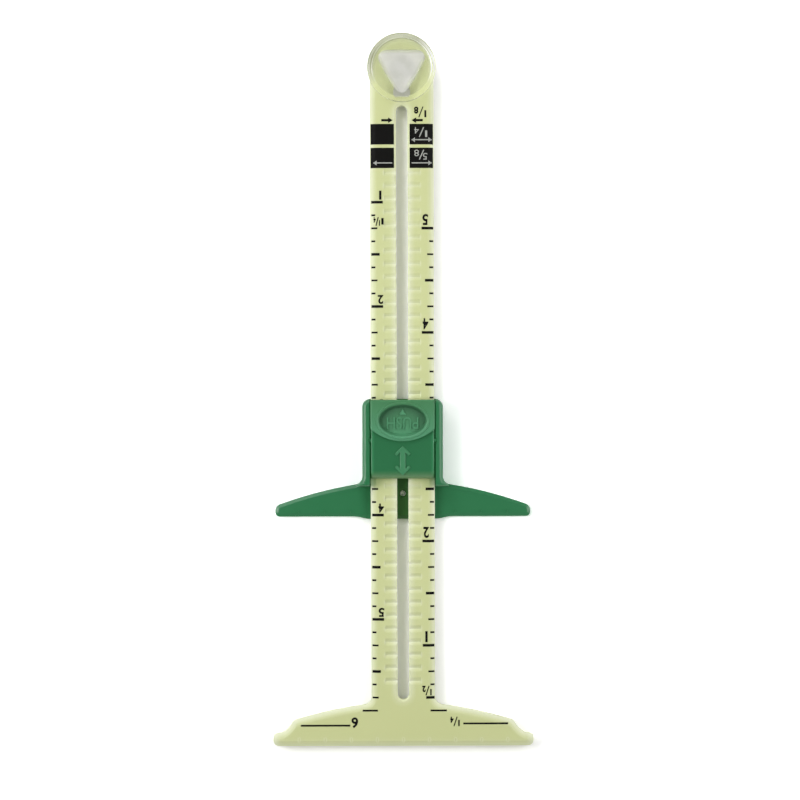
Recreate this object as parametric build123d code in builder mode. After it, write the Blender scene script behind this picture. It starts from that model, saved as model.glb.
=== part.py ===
"""Sewing gauge: a slotted ruler with a T-shaped head, a winged slider that clicks along it, and a round anchor.

Millimetres. +X is to the right of the ruler seen from above, +Y runs from the head to the anchor, +Z is up.
The gauge lies on its underside, and the origin is at the middle of the space it takes, on that surface.
"""
import os

from build123d import *

# Ruler: the long flat moulding
ruler_width = 15.6
ruler_thickness = 2.0
bevel_width = 1.3
bevel_depth = 0.45
left_zero_distance = 158.75
pivot_past_zero = 6.35

# Slot down the middle of the ruler
slot_width = 2.75
slot_start = 11.3
slot_to_pivot = 9.0
slot_lip_width = 0.5
slot_lip_depth = 0.25

# Notches beside the slot, one every eighth of an inch
first_notch = 15.875
notch_spacing = 3.175
notch_count = 40
notch_reach = 4.35
notch_width = 1.7
notch_depth = 0.35

# T-shaped head
head_half_span = 31.75
head_root_height = 10.2
head_root_radius = 2.0
shoulder_height = 6.15
shoulder_crown = 0.4
shoulder_radius = 1.6
step_length = 2.85
step_dip = 0.35
nub_length = 2.0
nub_height = 3.1
nub_radius = 1.4
fence_width = 2.4
edge_tick_spacing = 6.35
edge_ticks_each_side = 4
edge_tick_reach = 2.0
edge_tick_width = 0.4
edge_tick_depth = 0.15

# Slider: the winged moulding
floor_thickness = 1.2
running_gap = 0.2
rest_click_count = 16
slider_length = 28.8
slider_half_width = 9.8
slider_corner_radius = 2.0
wing_inset = 0.55
wing_root_height = 8.1
wing_root_radius = 2.3
wing_tip_height = 2.6
wing_tip_radius = 1.6
wing_toe_radius = 1.1
wing_crown = 0.6
wing_bevel_width = 0.8
wing_bevel_depth = 0.3
tongue_drop = 0.6
tongue_reach = 8.0
tongue_blend = 4.0
rail_start = 7.55
rail_foot_flare = 1.3
rail_overshoot = 0.3
rail_round = 1.1
rail_end_round = 0.8
lip_thickness = 0.6
lip_reach = 1.45
lip_end_gap = 0.8
marker_hole_offset = 5.6
marker_hole_radius = 0.7
marker_sink_radius = 1.2
marker_sink_angle = 90
wing_tick_spacing = 6.35
wing_tick_first = 2
wing_tick_last = 4
wing_tick_length = 0.8
wing_tick_width = 0.35
wing_tick_depth = 0.15

# Release button: rocks on two stubs between the rails
button_start = 9.4
button_length = 19.15
button_side_gap = 0.2
button_edge_round = 0.45
button_travel_room = 0.9
panel_thickness = 1.2
panel_end_round = 1.7
skirt_thickness = 0.6
skirt_drop = 1.3
pad_rise = 0.8
pad_side_drop = 2.0
pad_arc_drop = 5.0
pad_arc_round = 0.25
pad_edge_round = 0.4
ring_rise = 0.25
ring_width = 0.65
ring_bevel = 0.2
dish_offset = 23.5
dish_long_radius = 5.95
dish_short_radius = 3.9
dish_depth = 1.4
dish_slope_width = 0.7
pivot_offset = 18.7
pivot_drop = 0.65
stub_radius = 0.5
stub_clearance = 0.05
stub_length = 0.9
stub_end_gap = 0.15
lead_in_depth = 0.3
stake_radius = 0.6
stake_length = 0.5
stake_spacing = 5.0
stake_clearance = 0.05

# Latch spring: one bent leaf under the button
leaf_thickness = 0.3
leaf_width = 8.4
leaf_flat_start = 12.85
leaf_flat_end = 21.5
tooth_offset = 10.85
tooth_seat = 0.2
tooth_return = 0.6
tooth_bend_radius = 0.25
heel_offset = 27.0
heel_gap = 0.05
heel_width = 14.6
heel_length = 2.4
heel_curl = 1.0
heel_curl_rise = 0.3
heel_bend_radius = 0.6
fork_width = 4.4
fork_end = 14.8

# Anchor: clear button above the ruler's round end, clear foot below it
anchor_radius = 8.33
anchor_disc_thickness = 1.1
anchor_rim_width = 1.2
anchor_rim_rise = 0.7
anchor_rim_bevel = 0.25
grip_apothem = 4.2
grip_corner_radius = 2.4
grip_rise = 0.6
spigot_radius = 3.0
spigot_clearance = 0.08
snap_pin_radius = 1.9
snap_pin_length = 0.8
foot_radius = 7.4
foot_bevel = 0.3

# Heights above the table
ruler_bottom = floor_thickness + running_gap
ruler_top = ruler_bottom + ruler_thickness
lip_bottom = ruler_top + running_gap
lip_top = lip_bottom + lip_thickness
button_bottom = lip_top + button_travel_room
panel_top = button_bottom + panel_thickness
pivot_height = panel_top - pivot_drop
rail_top = panel_top + rail_overshoot
pad_top = panel_top + pad_rise
ring_top = pad_top + ring_rise
disc_bottom = ruler_top + running_gap
disc_top = disc_bottom + anchor_disc_thickness

# Places along the ruler and half widths
slider_distance = first_notch + rest_click_count * notch_spacing - tooth_offset
pivot_distance = left_zero_distance + pivot_past_zero
slot_end = pivot_distance - slot_to_pivot
head_edge = -(pivot_distance + anchor_radius) / 2
slider_edge = head_edge + slider_distance
nub_reach = head_half_span - nub_length
shoulder_reach = nub_reach - step_length
wing_half_span = head_half_span - wing_inset
ruler_half = ruler_width / 2
channel_half = ruler_half + running_gap
button_half = channel_half - button_side_gap
button_end = button_start + button_length
ring_long_radius = dish_long_radius + ring_width
ring_short_radius = dish_short_radius + ring_width

# Planes that the pieces are drawn on
ruler_plane = Plane(origin=(0, head_edge, ruler_bottom))
notch_plane = Plane(origin=(-notch_reach, head_edge + first_notch, ruler_top), x_dir=(0, 1, 0), z_dir=(1, 0, 0))
slider_plane = Plane(origin=(0, slider_edge, 0))
slider_side_plane = Plane(origin=(0, slider_edge, 0), x_dir=(0, 1, 0), z_dir=(1, 0, 0))
anchor_plane = Plane(origin=(0, head_edge + pivot_distance, 0))
anchor_side_plane = Plane(origin=(0, head_edge + pivot_distance, 0), x_dir=(1, 0, 0), z_dir=(0, -1, 0))


def mirrored_corners(sketch, x, y):
    """The corners of a sketch at x and at -x that stand at height y."""
    return [
        corner
        for corner in sketch.vertices()
        if abs(abs(corner.X) - x) < running_gap and abs(corner.Y - y) < running_gap
    ]


os.makedirs("parts", exist_ok=True)

# Ruler: T-shaped outline with a bevel all round, then the slot, the notches and the anchor's hole
with BuildPart() as ruler:
    with BuildSketch(ruler_plane) as ruler_outline:
        with BuildLine():
            edge = Line((0, 0), (head_half_span, 0))
            nub_end = Line(edge @ 1, (head_half_span, nub_height))
            nub_top = Line(nub_end @ 1, (nub_reach, nub_height))
            step = SagittaArc(nub_top @ 1, (shoulder_reach, shoulder_height), step_dip)
            shoulder = SagittaArc(step @ 1, (ruler_half, head_root_height), -shoulder_crown)
            side = Line(shoulder @ 1, (ruler_half, pivot_distance))
            CenterArc((0, pivot_distance), ruler_half, 0, 90)
            mirror(about=Plane.YZ)
        make_face()
        fillet(mirrored_corners(ruler_outline, head_half_span, 0), radius=nub_radius)
        fillet(mirrored_corners(ruler_outline, head_half_span, nub_height), radius=nub_radius)
        fillet(mirrored_corners(ruler_outline, shoulder_reach, shoulder_height), radius=shoulder_radius)
        fillet(mirrored_corners(ruler_outline, ruler_half, head_root_height), radius=head_root_radius)
    extrude(amount=ruler_thickness)
    ruler_face = ruler.faces().sort_by(Axis.Z)[-1]
    chamfer(ruler_face.edges(), length=bevel_width, length2=bevel_depth, reference=ruler_face)

    with BuildSketch(ruler_plane.offset(ruler_thickness)):
        with Locations((0, (slot_start + slot_end) / 2)):
            SlotOverall(slot_end - slot_start, slot_width, rotation=90)
    extrude(amount=-ruler_thickness, mode=Mode.SUBTRACT)
    ruler_face = ruler.faces().sort_by(Axis.Z)[-1]
    slot_rim = ruler_face.inner_wires()[0].edges()
    chamfer(slot_rim, length=slot_lip_width, length2=slot_lip_depth, reference=ruler_face)

    with BuildSketch(notch_plane):
        with Locations(*[(click * notch_spacing, 0) for click in range(notch_count)]):
            Polygon((-notch_width / 2, 0), (0, -notch_depth), (notch_width / 2, 0), align=None)
    extrude(amount=2 * notch_reach, mode=Mode.SUBTRACT)

    # The fence under the head's edge stands on the table, so that the wings can pass under the head
    with BuildSketch(ruler_plane) as fence_outline:
        Rectangle(2 * head_half_span, fence_width, align=(Align.CENTER, Align.MIN))
        fillet(mirrored_corners(fence_outline, head_half_span, 0), radius=nub_radius)
    extrude(amount=-ruler_bottom)

    with BuildSketch(ruler_plane.offset(ruler_thickness)):
        for mark in range(-edge_ticks_each_side, edge_ticks_each_side + 1):
            with Locations((mark * edge_tick_spacing, 0)):
                Rectangle(edge_tick_width, edge_tick_reach, align=(Align.CENTER, Align.MIN))
    extrude(amount=-edge_tick_depth, mode=Mode.SUBTRACT)

    with Locations(anchor_plane.offset(ruler_top)):
        Hole(spigot_radius + spigot_clearance)

# Slider: floor with two wings, and rails whose lips reach over the ruler's edges
with BuildPart() as slider_body:
    with BuildSketch(slider_plane) as slider_outline:
        with BuildLine():
            tongue = Line((0, -tongue_drop), (tongue_reach, -tongue_drop))
            blend = Spline(tongue @ 1, (tongue_reach + tongue_blend, 0), tangents=((1, 0), (1, 0)))
            wing_edge = Line(blend @ 1, (wing_half_span, 0))
            wing_end = Line(wing_edge @ 1, (wing_half_span, wing_tip_height))
            wing_top = SagittaArc(wing_end @ 1, (slider_half_width, wing_root_height), -wing_crown)
            slider_side = Line(wing_top @ 1, (slider_half_width, slider_length))
            Line(slider_side @ 1, (0, slider_length))
            mirror(about=Plane.YZ)
        make_face()
        fillet(mirrored_corners(slider_outline, wing_half_span, 0), radius=wing_toe_radius)
        fillet(mirrored_corners(slider_outline, wing_half_span, wing_tip_height), radius=wing_tip_radius)
        fillet(mirrored_corners(slider_outline, slider_half_width, wing_root_height), radius=wing_root_radius)
        fillet(mirrored_corners(slider_outline, slider_half_width, slider_length), radius=slider_corner_radius)
    extrude(amount=floor_thickness)
    floor_face = slider_body.faces().sort_by(Axis.Z)[-1]
    chamfer(floor_face.edges(), length=wing_bevel_width, length2=wing_bevel_depth, reference=floor_face)

    with BuildSketch(slider_plane) as rail_block:
        add(slider_outline.sketch_local)
        with Locations((0, rail_start)):
            Rectangle(
                2 * (slider_half_width + rail_foot_flare),
                slider_length,
                align=(Align.CENTER, Align.MIN),
                mode=Mode.INTERSECT,
            )
    extrude(amount=rail_top)
    # The long top edges are rounded first, all but the three at the end towards the head, and then that end
    long_edges = slider_body.faces().sort_by(Axis.Z)[-1].edges().sort_by(Axis.Y)[3:]
    fillet(long_edges, radius=rail_round)
    with BuildSketch(slider_side_plane):
        with Locations((rail_start, rail_top)):
            Rectangle(rail_end_round, rail_end_round, align=(Align.MIN, Align.MAX))
        with Locations((rail_start + rail_end_round, rail_top - rail_end_round)):
            Circle(rail_end_round, mode=Mode.SUBTRACT)
    extrude(amount=slider_half_width + rail_foot_flare, both=True, mode=Mode.SUBTRACT)

    with BuildSketch(slider_plane.offset(floor_thickness)):
        Rectangle(2 * channel_half, 2 * slider_length)
    extrude(amount=rail_top, mode=Mode.SUBTRACT)

    with BuildSketch(slider_plane.offset(lip_bottom)):
        with Locations((0, button_start + lip_end_gap)):
            Rectangle(2 * channel_half, button_length - 2 * lip_end_gap, align=(Align.CENTER, Align.MIN))
            Rectangle(
                2 * (channel_half - lip_reach), button_length, align=(Align.CENTER, Align.MIN), mode=Mode.SUBTRACT
            )
    extrude(amount=lip_thickness)

    # Sockets for the button's stubs, with a lead-in down the rails' inner faces
    with BuildSketch(slider_side_plane):
        with Locations((pivot_offset, pivot_height)):
            Circle(stub_radius + stub_clearance)
    extrude(amount=button_half + stub_length + stub_end_gap, both=True, mode=Mode.SUBTRACT)
    with BuildSketch(slider_side_plane):
        with Locations((pivot_offset, pivot_height)):
            Rectangle(2 * stub_radius, rail_top, align=(Align.CENTER, Align.MIN))
    extrude(amount=channel_half + lead_in_depth, both=True, mode=Mode.SUBTRACT)

    with Locations(slider_plane.offset(floor_thickness)):
        with Locations((0, marker_hole_offset)):
            CounterSinkHole(marker_hole_radius, marker_sink_radius, counter_sink_angle=marker_sink_angle)

    with BuildSketch(slider_plane.offset(floor_thickness)):
        for mark in range(wing_tick_first, wing_tick_last + 1):
            with Locations((mark * wing_tick_spacing, wing_bevel_width), (-mark * wing_tick_spacing, wing_bevel_width)):
                Rectangle(wing_tick_width, wing_tick_length, align=(Align.CENTER, Align.MIN))
    extrude(amount=-wing_tick_depth, mode=Mode.SUBTRACT)

# Release button: a flat panel with a skirt at one end, a raised pad with an oval ring and dish, and two stubs
with BuildPart() as release_button:
    with BuildSketch(slider_plane.offset(button_bottom - skirt_drop)):
        with Locations((0, button_start)):
            Rectangle(2 * button_half, skirt_thickness, align=(Align.CENTER, Align.MIN))
    extrude(amount=skirt_drop)
    with BuildSketch(slider_plane.offset(button_bottom)):
        with Locations((0, button_start)):
            Rectangle(2 * button_half, button_length, align=(Align.CENTER, Align.MIN))
    extrude(amount=panel_thickness)
    panel_face = release_button.faces().sort_by(Axis.Z)[-1]
    fillet(panel_face.edges().sort_by(Axis.Y)[0], radius=panel_end_round)
    panel_face = release_button.faces().sort_by(Axis.Z)[-1]
    fillet(panel_face.edges().filter_by(Axis.Y), radius=button_edge_round)

    # The pad's end towards the head is an arc. Its other three edges are rounded together, as they meet in corners
    with BuildSketch(slider_plane.offset(button_bottom)):
        with BuildLine():
            pad_arc = ThreePointArc(
                (-button_half, dish_offset - pad_side_drop),
                (0, dish_offset - pad_arc_drop),
                (button_half, dish_offset - pad_side_drop),
            )
            Polyline(pad_arc @ 1, (button_half, button_end), (-button_half, button_end), pad_arc @ 0)
        make_face()
    extrude(amount=panel_thickness + pad_rise)
    pad_face = release_button.faces().sort_by(Axis.Z)[-1]
    fillet(pad_face.edges().sort_by(Axis.Y)[1:], radius=pad_edge_round)
    pad_face = release_button.faces().sort_by(Axis.Z)[-1]
    fillet(pad_face.edges().sort_by(Axis.Y)[0], radius=pad_arc_round)

    with BuildSketch(slider_plane.offset(pad_top)):
        with Locations((0, dish_offset)):
            Ellipse(ring_long_radius, ring_short_radius)
    extrude(amount=ring_rise)
    with BuildSketch(slider_plane.offset(ring_top)):
        with Locations((0, dish_offset)):
            Ellipse(dish_long_radius, dish_short_radius)
    with BuildSketch(slider_plane.offset(ring_top - dish_depth)):
        with Locations((0, dish_offset)):
            Ellipse(dish_long_radius - dish_slope_width, dish_short_radius - dish_slope_width)
    loft(mode=Mode.SUBTRACT)
    chamfer(release_button.faces().sort_by(Axis.Z)[-1].edges(), length=ring_bevel)

    with BuildSketch(slider_side_plane):
        with Locations((pivot_offset, pivot_height)):
            Circle(stub_radius)
    extrude(amount=button_half + stub_length, both=True)

    # Stakes under the button that hold the leaf spring
    with BuildSketch(slider_plane.offset(button_bottom)):
        with Locations((0, pivot_offset)):
            with GridLocations(stake_spacing, stake_spacing, 2, 1):
                Circle(stake_radius)
    extrude(amount=-stake_length)

# Latch spring: a leaf bent down to the notches at one end and to the lips at the other
leaf_height = button_bottom - leaf_thickness / 2
tooth_height = ruler_top - notch_depth + tooth_seat
heel_height = lip_top + heel_gap + leaf_thickness / 2
with BuildPart() as latch_spring:
    with BuildSketch(slider_side_plane):
        with BuildLine():
            FilletPolyline(
                (tooth_offset - tooth_return, tooth_height + tooth_return),
                (tooth_offset, tooth_height),
                (leaf_flat_start, leaf_height),
                (leaf_flat_end, leaf_height),
                (heel_offset, heel_height),
                (heel_offset + heel_curl, heel_height + heel_curl_rise),
                radius=(tooth_bend_radius, heel_bend_radius, heel_bend_radius, heel_bend_radius),
            )
            offset(amount=leaf_thickness / 2, side=Side.BOTH)
        make_face()
    extrude(amount=heel_width / 2, both=True)
    with BuildSketch(slider_plane):
        Rectangle(leaf_width, 2 * heel_offset)
        with Locations((0, heel_offset)):
            Rectangle(heel_width, heel_length)
        Rectangle(fork_width, 2 * fork_end, mode=Mode.SUBTRACT)
        with Locations((0, pivot_offset)):
            with GridLocations(stake_spacing, stake_spacing, 2, 1):
                Circle(stake_radius + stake_clearance, mode=Mode.SUBTRACT)
    extrude(amount=panel_top, mode=Mode.INTERSECT)

# Anchor button: a clear disc with a rim and a three-cornered grip, on a stepped spigot
with BuildPart() as anchor_button:
    with BuildSketch(anchor_side_plane):
        with BuildLine():
            Polyline(
                (0, floor_thickness - snap_pin_length),
                (snap_pin_radius, floor_thickness - snap_pin_length),
                (snap_pin_radius, floor_thickness),
                (spigot_radius, floor_thickness),
                (spigot_radius, disc_bottom),
                (anchor_radius, disc_bottom),
                (anchor_radius, disc_top + anchor_rim_rise),
                (anchor_radius - anchor_rim_width, disc_top + anchor_rim_rise),
                (anchor_radius - anchor_rim_width, disc_top),
                (0, disc_top),
                close=True,
            )
        make_face()
    revolve(axis=Axis((0, head_edge + pivot_distance, 0), (0, 0, 1)))
    rim_face = anchor_button.faces().sort_by(Axis.Z)[-1]
    chamfer(rim_face.edges(), length=anchor_rim_bevel)
    with BuildSketch(anchor_plane.offset(disc_top)) as grip_outline:
        RegularPolygon(grip_apothem, 3, major_radius=False, rotation=-90)
        fillet(grip_outline.vertices(), radius=grip_corner_radius)
    extrude(amount=grip_rise)

# Anchor foot: a clear pad under the ruler that the spigot snaps into
with BuildPart() as anchor_foot:
    with BuildSketch(anchor_plane):
        Circle(foot_radius)
    extrude(amount=floor_thickness)
    chamfer(anchor_foot.edges().group_by(Axis.Z)[0], length=foot_bevel)
    with BuildSketch(anchor_plane.offset(floor_thickness)):
        Circle(snap_pin_radius)
    extrude(amount=-snap_pin_length, mode=Mode.SUBTRACT)

ruler.part.label = "ruler"
slider_body.part.label = "slider_body"
release_button.part.label = "release_button"
latch_spring.part.label = "latch_spring"
anchor_button.part.label = "anchor_button"
anchor_foot.part.label = "anchor_foot"
export_step(ruler.part, "parts/ruler.step")
export_step(slider_body.part, "parts/slider_body.step")
export_step(release_button.part, "parts/release_button.step")
export_step(latch_spring.part, "parts/latch_spring.step")
export_step(anchor_button.part, "parts/anchor_button.step")
export_step(anchor_foot.part, "parts/anchor_foot.step")
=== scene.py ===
# %% [markdown]
# # A sewing gauge in pale and green plastic
#
# The gauge is a slotted ruler with a T-shaped head. A winged slider clicks along it, and a clear
# anchor turns at its far end. The solids come from the frame at their real size. This lesson
# gives them their finishes and adds what a maker prints and moulds on them: the two inch scales,
# the seam guides and the raised signs.

# %% Load the frame
import math

import bmesh
import bpy
from mathutils import Matrix, Vector
from mathutils.bvhtree import BVHTree


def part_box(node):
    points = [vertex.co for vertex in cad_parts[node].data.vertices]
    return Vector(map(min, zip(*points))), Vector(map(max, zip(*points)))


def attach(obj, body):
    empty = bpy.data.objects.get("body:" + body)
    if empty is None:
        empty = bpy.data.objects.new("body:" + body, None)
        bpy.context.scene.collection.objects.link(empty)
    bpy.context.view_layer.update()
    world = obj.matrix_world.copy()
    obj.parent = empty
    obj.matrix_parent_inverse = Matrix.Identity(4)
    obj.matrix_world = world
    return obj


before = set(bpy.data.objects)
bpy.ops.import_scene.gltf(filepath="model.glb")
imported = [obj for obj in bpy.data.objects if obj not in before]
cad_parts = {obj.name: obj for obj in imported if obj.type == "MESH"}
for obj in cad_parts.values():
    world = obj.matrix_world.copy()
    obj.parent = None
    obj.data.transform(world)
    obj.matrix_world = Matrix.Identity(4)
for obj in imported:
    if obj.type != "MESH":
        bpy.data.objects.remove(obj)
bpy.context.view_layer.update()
mm = 0.001
inch = 25.4 * mm
ruler_low, ruler_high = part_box("ruler")
slider_low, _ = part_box("slider_body")
button_low, button_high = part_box("release_button")
anchor_low, anchor_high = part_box("anchor_button")
head_edge = ruler_low.y
anchor_y = (anchor_low.y + anchor_high.y) / 2

# %% [markdown]
# ## The camera
#
# The gauge was photographed from straight above. The printed inches give the scale, 104.3 pixels
# to the inch, and the head's straight edge gives the place. The lens follows from the distance,
# so that the ruler's top face has the photograph's scale. The gauge lies a little askew, and the
# camera's roll says so.

# %% Camera above the gauge
picture_pixels = 800
pixels_per_inch = 104.3
arm_column = 402.5
edge_row = 746.2
camera_distance = 0.45
camera_roll = -0.17
sensor_width = 36

pixel = inch / pixels_per_inch
camera_data = bpy.data.cameras.new("camera")
camera_data.sensor_width = sensor_width
camera_data.lens = sensor_width * camera_distance / (picture_pixels * pixel)
camera = bpy.data.objects.new("camera", camera_data)
bpy.context.scene.collection.objects.link(camera)
camera.location = (
    (picture_pixels / 2 - arm_column) * pixel,
    head_edge + (edge_row - picture_pixels / 2) * pixel,
    ruler_high.z + camera_distance,
)
camera.rotation_euler = (0, 0, math.radians(camera_roll))
bpy.context.scene.camera = camera
bpy.context.scene.view_settings.view_transform = "Standard"
print("lens", round(camera_data.lens, 1), "mm")

# %% [markdown]
# ## Helpers for materials
#
# Every material here is a small node tree. A few helpers keep the trees short. One makes a
# material with its shader and output, one adds a node, sets it up and links what feeds it, and
# the others are the nodes that come back again and again: arithmetic, a place, a noise, a mask, a
# mix and a bump. Patterns are read in Object coordinates, so that they stay on their piece as it
# moves.


# %% Materials and nodes
def new_material(name):
    """A new material with nodes, its Principled BSDF and its output."""
    material = bpy.data.materials.new(name)
    material.use_nodes = True
    tree = material.node_tree
    tree.nodes.clear()
    output = tree.nodes.new("ShaderNodeOutputMaterial")
    shader = tree.nodes.new("ShaderNodeBsdfPrincipled")
    tree.links.new(shader.outputs["BSDF"], output.inputs["Surface"])
    return material, tree, shader, output


def add_node(tree, kind, inputs=None, **settings):
    """A node of one kind: sockets are set from values or linked from other nodes' outputs."""
    made = tree.nodes.new(kind)
    for name, value in settings.items():
        setattr(made, name, value)
    for name, value in (inputs or {}).items():
        if isinstance(value, bpy.types.NodeSocket):
            tree.links.new(value, made.inputs[name])
        else:
            made.inputs[name].default_value = value
    return made


# %% Numbers and places
def combine(tree, operation, first, second):
    """What a Math node makes of two numbers."""
    return add_node(tree, "ShaderNodeMath", {0: first, 1: second}, operation=operation).outputs[0]


def object_place(tree):
    """A point's place in Object coordinates."""
    return add_node(tree, "ShaderNodeTexCoord").outputs["Object"]


def noise(tree, place, scale, detail):
    """A cloudy value that varies round one half."""
    inputs = {"Vector": place, "Scale": scale, "Detail": detail}
    return add_node(tree, "ShaderNodeTexNoise", inputs).outputs[0]


def mask_between(tree, value, start, end):
    """A mask that rises from 0 to 1 as a value goes from start to end."""
    inputs = {"Value": value, "From Min": start, "From Max": end}
    return add_node(tree, "ShaderNodeMapRange", inputs).outputs[0]


# %% Mixes and bumps
def mix_colour(tree, mask, first, second):
    """One colour where the mask is 0 and the other where it is 1.

    A Mix node keeps sockets for every kind: inputs 6 and 7 are its colours, and output 2 their mix.
    """
    inputs = {"Factor": mask, 6: first, 7: second}
    return add_node(tree, "ShaderNodeMix", inputs, data_type="RGBA").outputs[2]


def mix_value(tree, mask, first, second):
    """One value where the mask is 0 and the other where it is 1.

    Inputs 2 and 3 are a Mix node's values, and output 0 is their mix.
    """
    inputs = {"Factor": mask, 2: first, 3: second}
    return add_node(tree, "ShaderNodeMix", inputs, data_type="FLOAT").outputs[0]


def add_bump(tree, shader, height, strength, depth):
    """A bump that gives a shader's surface its small relief."""
    inputs = {"Height": height, "Strength": strength, "Distance": depth}
    relief = add_node(tree, "ShaderNodeBump", inputs)
    tree.links.new(relief.outputs[0], shader.inputs["Normal"])


# %% [markdown]
# ## Helpers for pieces
#
# The frost, the ink and the signs all start as flat faces. Extruding those with the originals
# kept gives a closed plate: a copy of them moves up or down, and walls join the two. A plate then
# becomes an object with one material.


# %% Plates and pieces
def thicken(bm, height):
    """Flat faces made a closed plate, which reaches from them up or down by a height."""
    made = bmesh.ops.extrude_face_region(bm, geom=bm.faces[:], use_keep_orig=True)["geom"]
    moved = [part for part in made if isinstance(part, bmesh.types.BMVert)]
    bmesh.ops.translate(bm, verts=moved, vec=(0, 0, height))
    bmesh.ops.recalc_face_normals(bm, faces=bm.faces)


def make_piece(bm, name, material):
    """An object with one material, made from a finished bmesh."""
    mesh = bpy.data.meshes.new(name)
    bm.to_mesh(mesh)
    bm.free()
    mesh.materials.append(material)
    piece = bpy.data.objects.new(name, mesh)
    bpy.context.scene.collection.objects.link(piece)
    print(name, len(mesh.polygons), "faces")
    return piece


# %% [markdown]
# ## Light
#
# Product pictures of flat things are lit from the sides. Two soft boxes stand close by, left and
# right at 45 degrees, a third stands off the anchor's end and a weak one off the head's end, and
# nothing bright hangs overhead. Near boxes light the gauge's middle more than its ends, as the
# photograph shows. Flat faces then mirror the dark ceiling, which keeps the green deep, while
# every rounded edge mirrors a box and shines. The world adds a low bright ring round the horizon:
# the upward part of a direction is the sine of its height above the horizon, and the light falls
# as it grows.
#
# A lamp's power follows from its share of the plain level, at which a colour renders as it is
# written: power P at distance d and height z lights the table at P z / (pi squared d cubed).

# %% World with a bright horizon and a dark ceiling
horizon_strength = 1.0
ceiling_strength = 0.05
horizon_sine = 0.15
ceiling_sine = 0.75

world = bpy.data.worlds.new("studio")
world.use_nodes = True
bpy.context.scene.world = world
world_tree = world.node_tree
world_tree.nodes.clear()
direction = add_node(world_tree, "ShaderNodeTexCoord").outputs["Generated"]
parts = add_node(world_tree, "ShaderNodeSeparateXYZ", {0: direction})
ring = add_node(
    world_tree,
    "ShaderNodeMapRange",
    {
        "Value": parts.outputs["Z"],
        "From Min": horizon_sine,
        "From Max": ceiling_sine,
        "To Min": horizon_strength,
        "To Max": ceiling_strength,
    },
    interpolation_type="SMOOTHSTEP",
)
studio_light = add_node(
    world_tree, "ShaderNodeBackground", {"Color": (1, 1, 1, 1), "Strength": ring.outputs[0]}
)
add_node(world_tree, "ShaderNodeOutputWorld", {"Surface": studio_light.outputs[0]})
print("world from", horizon_strength, "at the horizon to", ceiling_strength, "overhead")


# %% Soft boxes
def add_soft_box(name, share, size, place):
    """A square area lamp aimed at the gauge that gives a share of the plain light level."""
    data = bpy.data.lights.new(name, "AREA")
    data.energy = share * math.pi**2 * place.length**3 / place.z
    data.size = size
    lamp = bpy.data.objects.new(name, data)
    lamp.location = place
    lamp.rotation_euler = (-place).to_track_quat("-Z", "Y").to_euler()
    lamp.visible_camera = False
    bpy.context.scene.collection.objects.link(lamp)
    print(name, round(data.energy, 2), "W")


add_soft_box("left_box", share=0.37, size=0.15, place=Vector((-0.22, 0.01, 0.22)))
add_soft_box("right_box", share=0.31, size=0.19, place=Vector((0.22, 0.01, 0.22)))
add_soft_box("anchor_end_box", share=0.18, size=0.26, place=Vector((-0.17, 0.36, 0.34)))
add_soft_box("head_end_box", share=0.01, size=0.3, place=Vector((0, -0.45, 0.40)))

# %% [markdown]
# ## Table
#
# The table is white paper. For the camera, and for what shiny things mirror, the paper is whiter
# than it is for the light it throws back, so the background is plain white and the gauge's shadow
# stays. Near lamps leave the far paper dim, so there it is plain white by itself for the same
# rays.

# %% White paper
paper_white = 0.82
seen_white = 1.4
lit_reach = 0.16
far_reach = 0.34

white_paper, tree, shader, output = new_material("white_paper")
tree.nodes.remove(shader)
thrown, near = (
    add_node(tree, "ShaderNodeBsdfDiffuse", {"Color": (white, white, white, 1)}).outputs[0]
    for white in (paper_white, seen_white)
)
far = add_node(tree, "ShaderNodeEmission", {"Color": (1, 1, 1, 1), "Strength": 1}).outputs[0]
from_gauge = add_node(tree, "ShaderNodeVectorMath", {0: object_place(tree)}, operation="LENGTH")
farness = mask_between(tree, from_gauge.outputs["Value"], lit_reach, far_reach)
seen = add_node(tree, "ShaderNodeMixShader", {0: farness, 1: near, 2: far}).outputs[0]
path = add_node(tree, "ShaderNodeLightPath").outputs
mirrored = combine(tree, "MAXIMUM", path["Is Glossy Ray"], path["Is Transmission Ray"])
looked_at = combine(tree, "MAXIMUM", path["Is Camera Ray"], mirrored)
paper_mix = add_node(tree, "ShaderNodeMixShader", {0: looked_at, 1: thrown, 2: seen})
tree.links.new(paper_mix.outputs[0], output.inputs["Surface"])
print("paper is plain white by itself from", far_reach, "m")

# %% Table under the gauge
table_size = 4.0
table_gap = 0.02 * mm

bm = bmesh.new()
bmesh.ops.create_grid(bm, x_segments=1, y_segments=1, size=table_size / 2)
table = make_piece(bm, "table", white_paper)
table.location.z = -table_gap

# %% [markdown]
# ## The skin of moulded plastic
#
# Moulded plastic is never quite flat. It has a fine grain from the mould's steel, and slow waves
# where the wall shrank as it cooled. Both come from noise. One node group gives a height for the
# Bump node and a mottle for the colour and the gloss, and each plastic sets its own sizes.


# %% Node group: moulded skin
def moulded_skin_group():
    """Node group with a grain and a slow wave: Height for a bump, Mottle from 0 to 1."""
    group = bpy.data.node_groups.new("moulded_skin", "ShaderNodeTree")
    for name in ("Grain Scale", "Wave Scale", "Wave Amount"):
        group.interface.new_socket(name, in_out="INPUT", socket_type="NodeSocketFloat")
    for name in ("Height", "Mottle"):
        group.interface.new_socket(name, in_out="OUTPUT", socket_type="NodeSocketFloat")
    start = add_node(group, "NodeGroupInput").outputs
    place = object_place(group)
    grain = noise(group, place, start["Grain Scale"], detail=3)
    wave = noise(group, place, start["Wave Scale"], detail=1)
    tall_wave = combine(group, "MULTIPLY", wave, start["Wave Amount"])
    height = combine(group, "ADD", grain, tall_wave)
    add_node(group, "NodeGroupOutput", {"Height": height, "Mottle": wave})
    return group


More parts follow.
